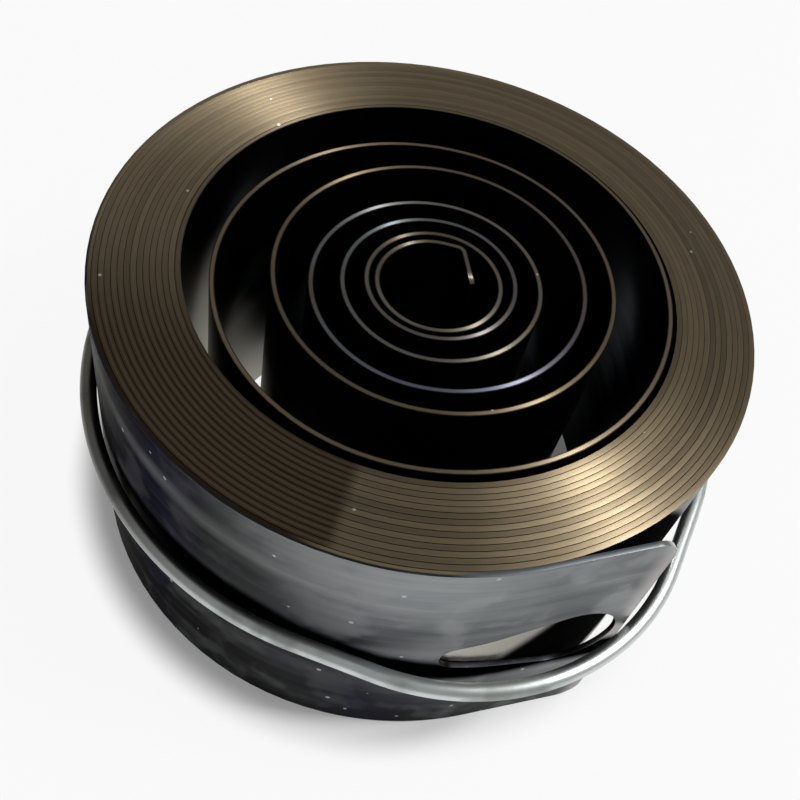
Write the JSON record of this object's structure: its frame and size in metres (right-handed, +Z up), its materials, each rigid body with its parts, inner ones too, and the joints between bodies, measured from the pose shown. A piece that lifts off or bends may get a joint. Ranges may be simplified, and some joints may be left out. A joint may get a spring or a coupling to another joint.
{
  "type": "spiral power spring",
  "caption": "Flat steel strip wound into a tight spiral pack with loose inner turns, a bent inner tab and a slotted outer leg, held closed by a round wire ring.",
  "frame": {"origin": "on the coil's axis, in the plane of the strip's lower edges", "axes": "+Z up along the coil's axis, -Y towards the side where the outer end leaves the pack, +X towards that end's tip"},
  "size_m": [0.1226, 0.1243, 0.06],
  "materials": {
    "blued_spring_steel": "blue-black tempered strip, bare brassy edges",
    "galvanised_wire": "bright zinc-coated wire"
  },
  "bodies": {
    "root": {"spring_strip": "blued_spring_steel", "retaining_ring": "galvanised_wire"}
  },
  "joints": []
}
